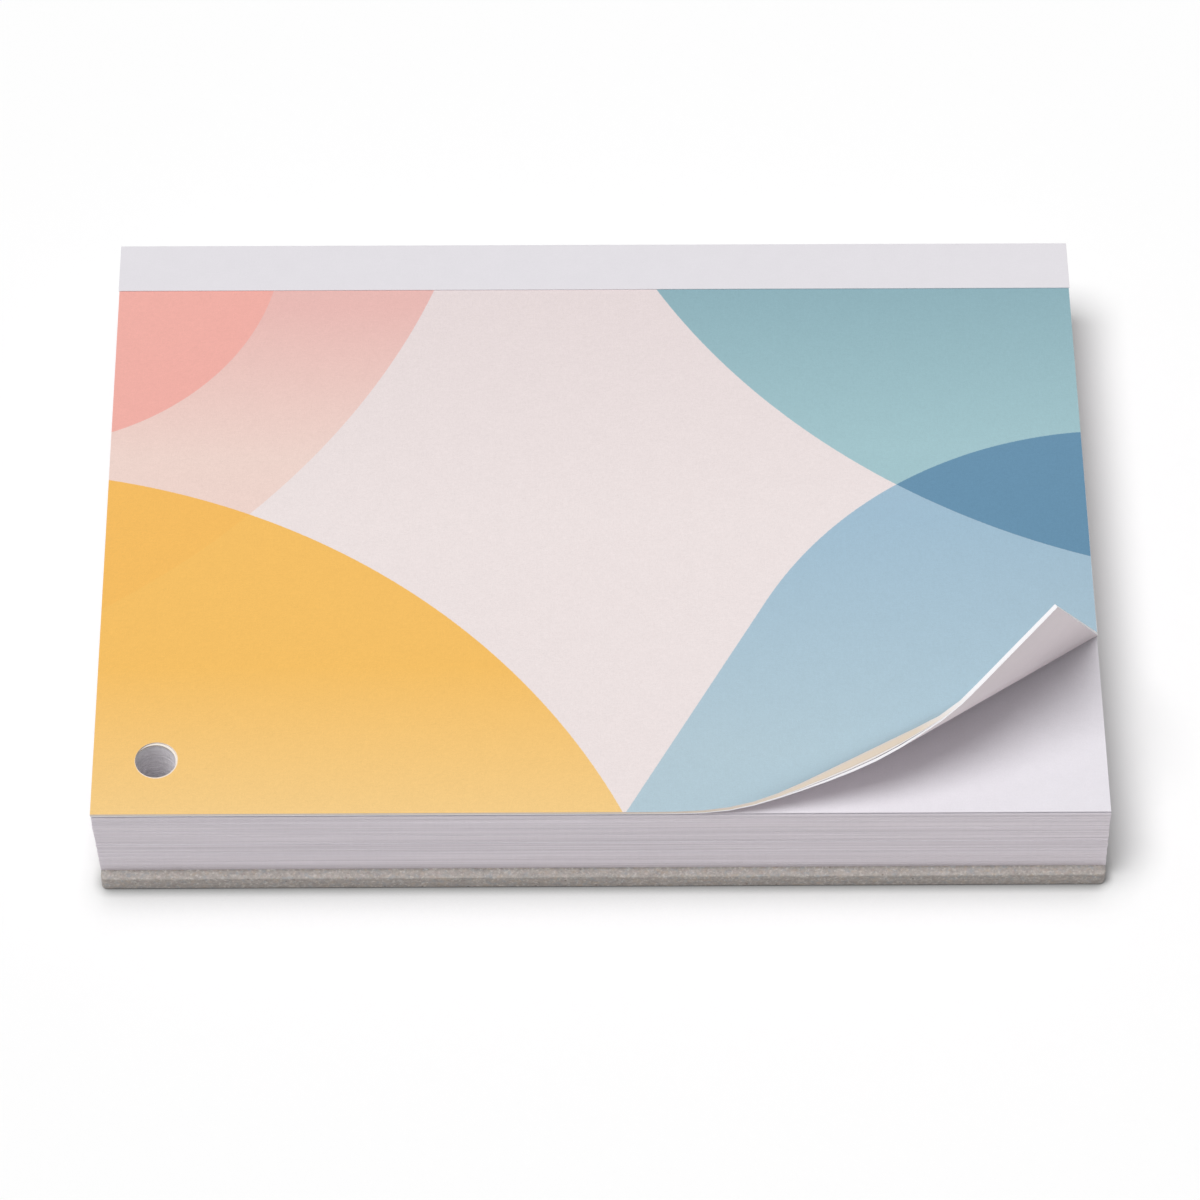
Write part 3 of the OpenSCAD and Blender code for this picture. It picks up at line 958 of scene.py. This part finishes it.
class NOTEPAD_OT_stage(bpy.types.Operator):
    """Sets the pale floor, the soft lamps, the world and the camera"""

    bl_idname = "notepad.stage"
    bl_label = "Stage"

    def execute(self, context):
        scene = context.scene
        clear_selection()
        bpy.ops.mesh.primitive_plane_add(size=FLOOR_WIDTH, location=(0, 0, -FLOOR_DROP))
        floor = context.object
        floor.name = floor.data.name = "pale_floor"
        bpy.ops.object.transform_apply(location=True, rotation=True, scale=True)
        recipe = Recipe("pale_floor")
        rays = recipe.node("ShaderNodeLightPath")
        seen = rays.out("Is Camera Ray").larger(rays.out("Is Glossy Ray")).larger(rays.out("Is Transmission Ray"))
        bounce = FLOOR_BOUNCE + seen * (1.0 - FLOOR_BOUNCE)
        across, along, _ = recipe.split(recipe.object_place())
        in_front = 1.0 - along.above(CARD_LOW.y, 5.0 * MM)
        shaded = across.above(CARD_LOW.x - 1.5 * MM, 5.0 * MM) * (0.35 + 0.65 * in_front)
        for reach, strength in FLOOR_CONTACT:
            occlusion = recipe.node("ShaderNodeAmbientOcclusion", {"samples": 8}, {"Distance": reach * MM})
            bounce = bounce * (1.0 - (1.0 - occlusion.out("AO")) * shaded * strength)
        grey = recipe.node("ShaderNodeCombineXYZ", None, {0: bounce, 1: bounce, 2: bounce}).out()
        matte = recipe.node("ShaderNodeBsdfDiffuse", None, {"Color": grey})
        glow = recipe.node("ShaderNodeEmission", None, {"Color": (1.0, 1.0, 1.0, 1.0), "Strength": FLOOR_GLOW_LEVEL})
        both = recipe.node("ShaderNodeMixShader", None, {0: seen * FLOOR_GLOW, 1: matte.out(), 2: glow.out()})
        recipe.node("ShaderNodeOutputMaterial", None, {"Surface": both.out()})
        floor.data.materials.append(recipe.material)

        world = bpy.data.worlds.new("studio")
        scene.world = world
        world.use_nodes = True
        tree = world.node_tree
        tree.nodes.clear()
        light_path = tree.nodes.new("ShaderNodeLightPath")
        shown_white = tree.nodes.new("ShaderNodeMath")
        shown_white.operation = "MULTIPLY_ADD"
        shown_white.inputs[1].default_value = 1.0 - SKY_LEVEL
        shown_white.inputs[2].default_value = SKY_LEVEL
        background = tree.nodes.new("ShaderNodeBackground")
        output = tree.nodes.new("ShaderNodeOutputWorld")
        tree.links.new(light_path.outputs["Is Camera Ray"], shown_white.inputs[0])
        tree.links.new(shown_white.outputs[0], background.inputs["Strength"])
        tree.links.new(background.outputs[0], output.inputs["Surface"])

        for name, (place, level, softness) in LAMPS.items():
            bpy.ops.object.light_add(type="SUN", location=place)
            lamp = context.object
            lamp.name = name
            lamp.data.angle = math.radians(softness)
            lamp.data.energy = math.pi * level / Vector(place).normalized().z
            lamp.rotation_euler = (-Vector(place)).to_track_quat("-Z", "Y").to_euler()

        bpy.ops.object.camera_add()
        camera = context.object
        camera.data.sensor_width = CAMERA_SENSOR
        camera.data.lens = CAMERA_LENS
        angles = (math.radians(angle) for angle in (CAMERA_ELEVATION, CAMERA_YAW, CAMERA_ROLL))
        aim(camera, Vector(CAMERA_TARGET) * MM, *angles, CAMERA_DISTANCE * MM)
        scene.camera = camera
        scene.view_settings.view_transform = "Standard"
        return {"FINISHED"}


class NOTEPAD_PT_panel(bpy.types.Panel):
    """Lists the notepad's sizes and pieces"""

    bl_label = "Glue-Bound Notepad"
    bl_space_type = "VIEW_3D"
    bl_region_type = "UI"
    bl_category = "Notepad"

    def draw(self, context):
        layout = self.layout
        for operator in PIECES:
            layout.operator(operator.bl_idname)
        for name, group in GROUPS.items():
            box = layout.box()
            box.label(text=group.__doc__)
            for setting in group.__annotations__:
                box.prop(getattr(context.scene, name), setting)


PIECES = (
    NOTEPAD_OT_stage, NOTEPAD_OT_backing_board, NOTEPAD_OT_page_block, NOTEPAD_OT_loose_sheets,
    NOTEPAD_OT_cover, NOTEPAD_OT_binding,
)
GROUPS = {
    "notepad_sheets": NotepadSheets,
    "notepad_lift": NotepadLift,
    "notepad_print": NotepadPrint,
    "notepad_paper": NotepadPaper,
}


def register():
    for group in GROUPS.values():
        bpy.utils.register_class(group)
    for name, group in GROUPS.items():
        setattr(bpy.types.Scene, name, bpy.props.PointerProperty(type=group))
    for part in (*PIECES, NOTEPAD_PT_panel):
        bpy.utils.register_class(part)


def unregister():
    for part in (NOTEPAD_PT_panel, *reversed(PIECES)):
        bpy.utils.unregister_class(part)
    for name, group in reversed(GROUPS.items()):
        delattr(bpy.types.Scene, name)
        bpy.utils.unregister_class(group)


def main():
    register()
    bpy.ops.notepad.stage()
    bpy.ops.notepad.backing_board()
    bpy.ops.notepad.page_block()
    bpy.ops.notepad.loose_sheets()
    bpy.ops.notepad.cover()
    bpy.ops.notepad.binding()
    clear_selection()


if __name__ == "__main__":
    main()
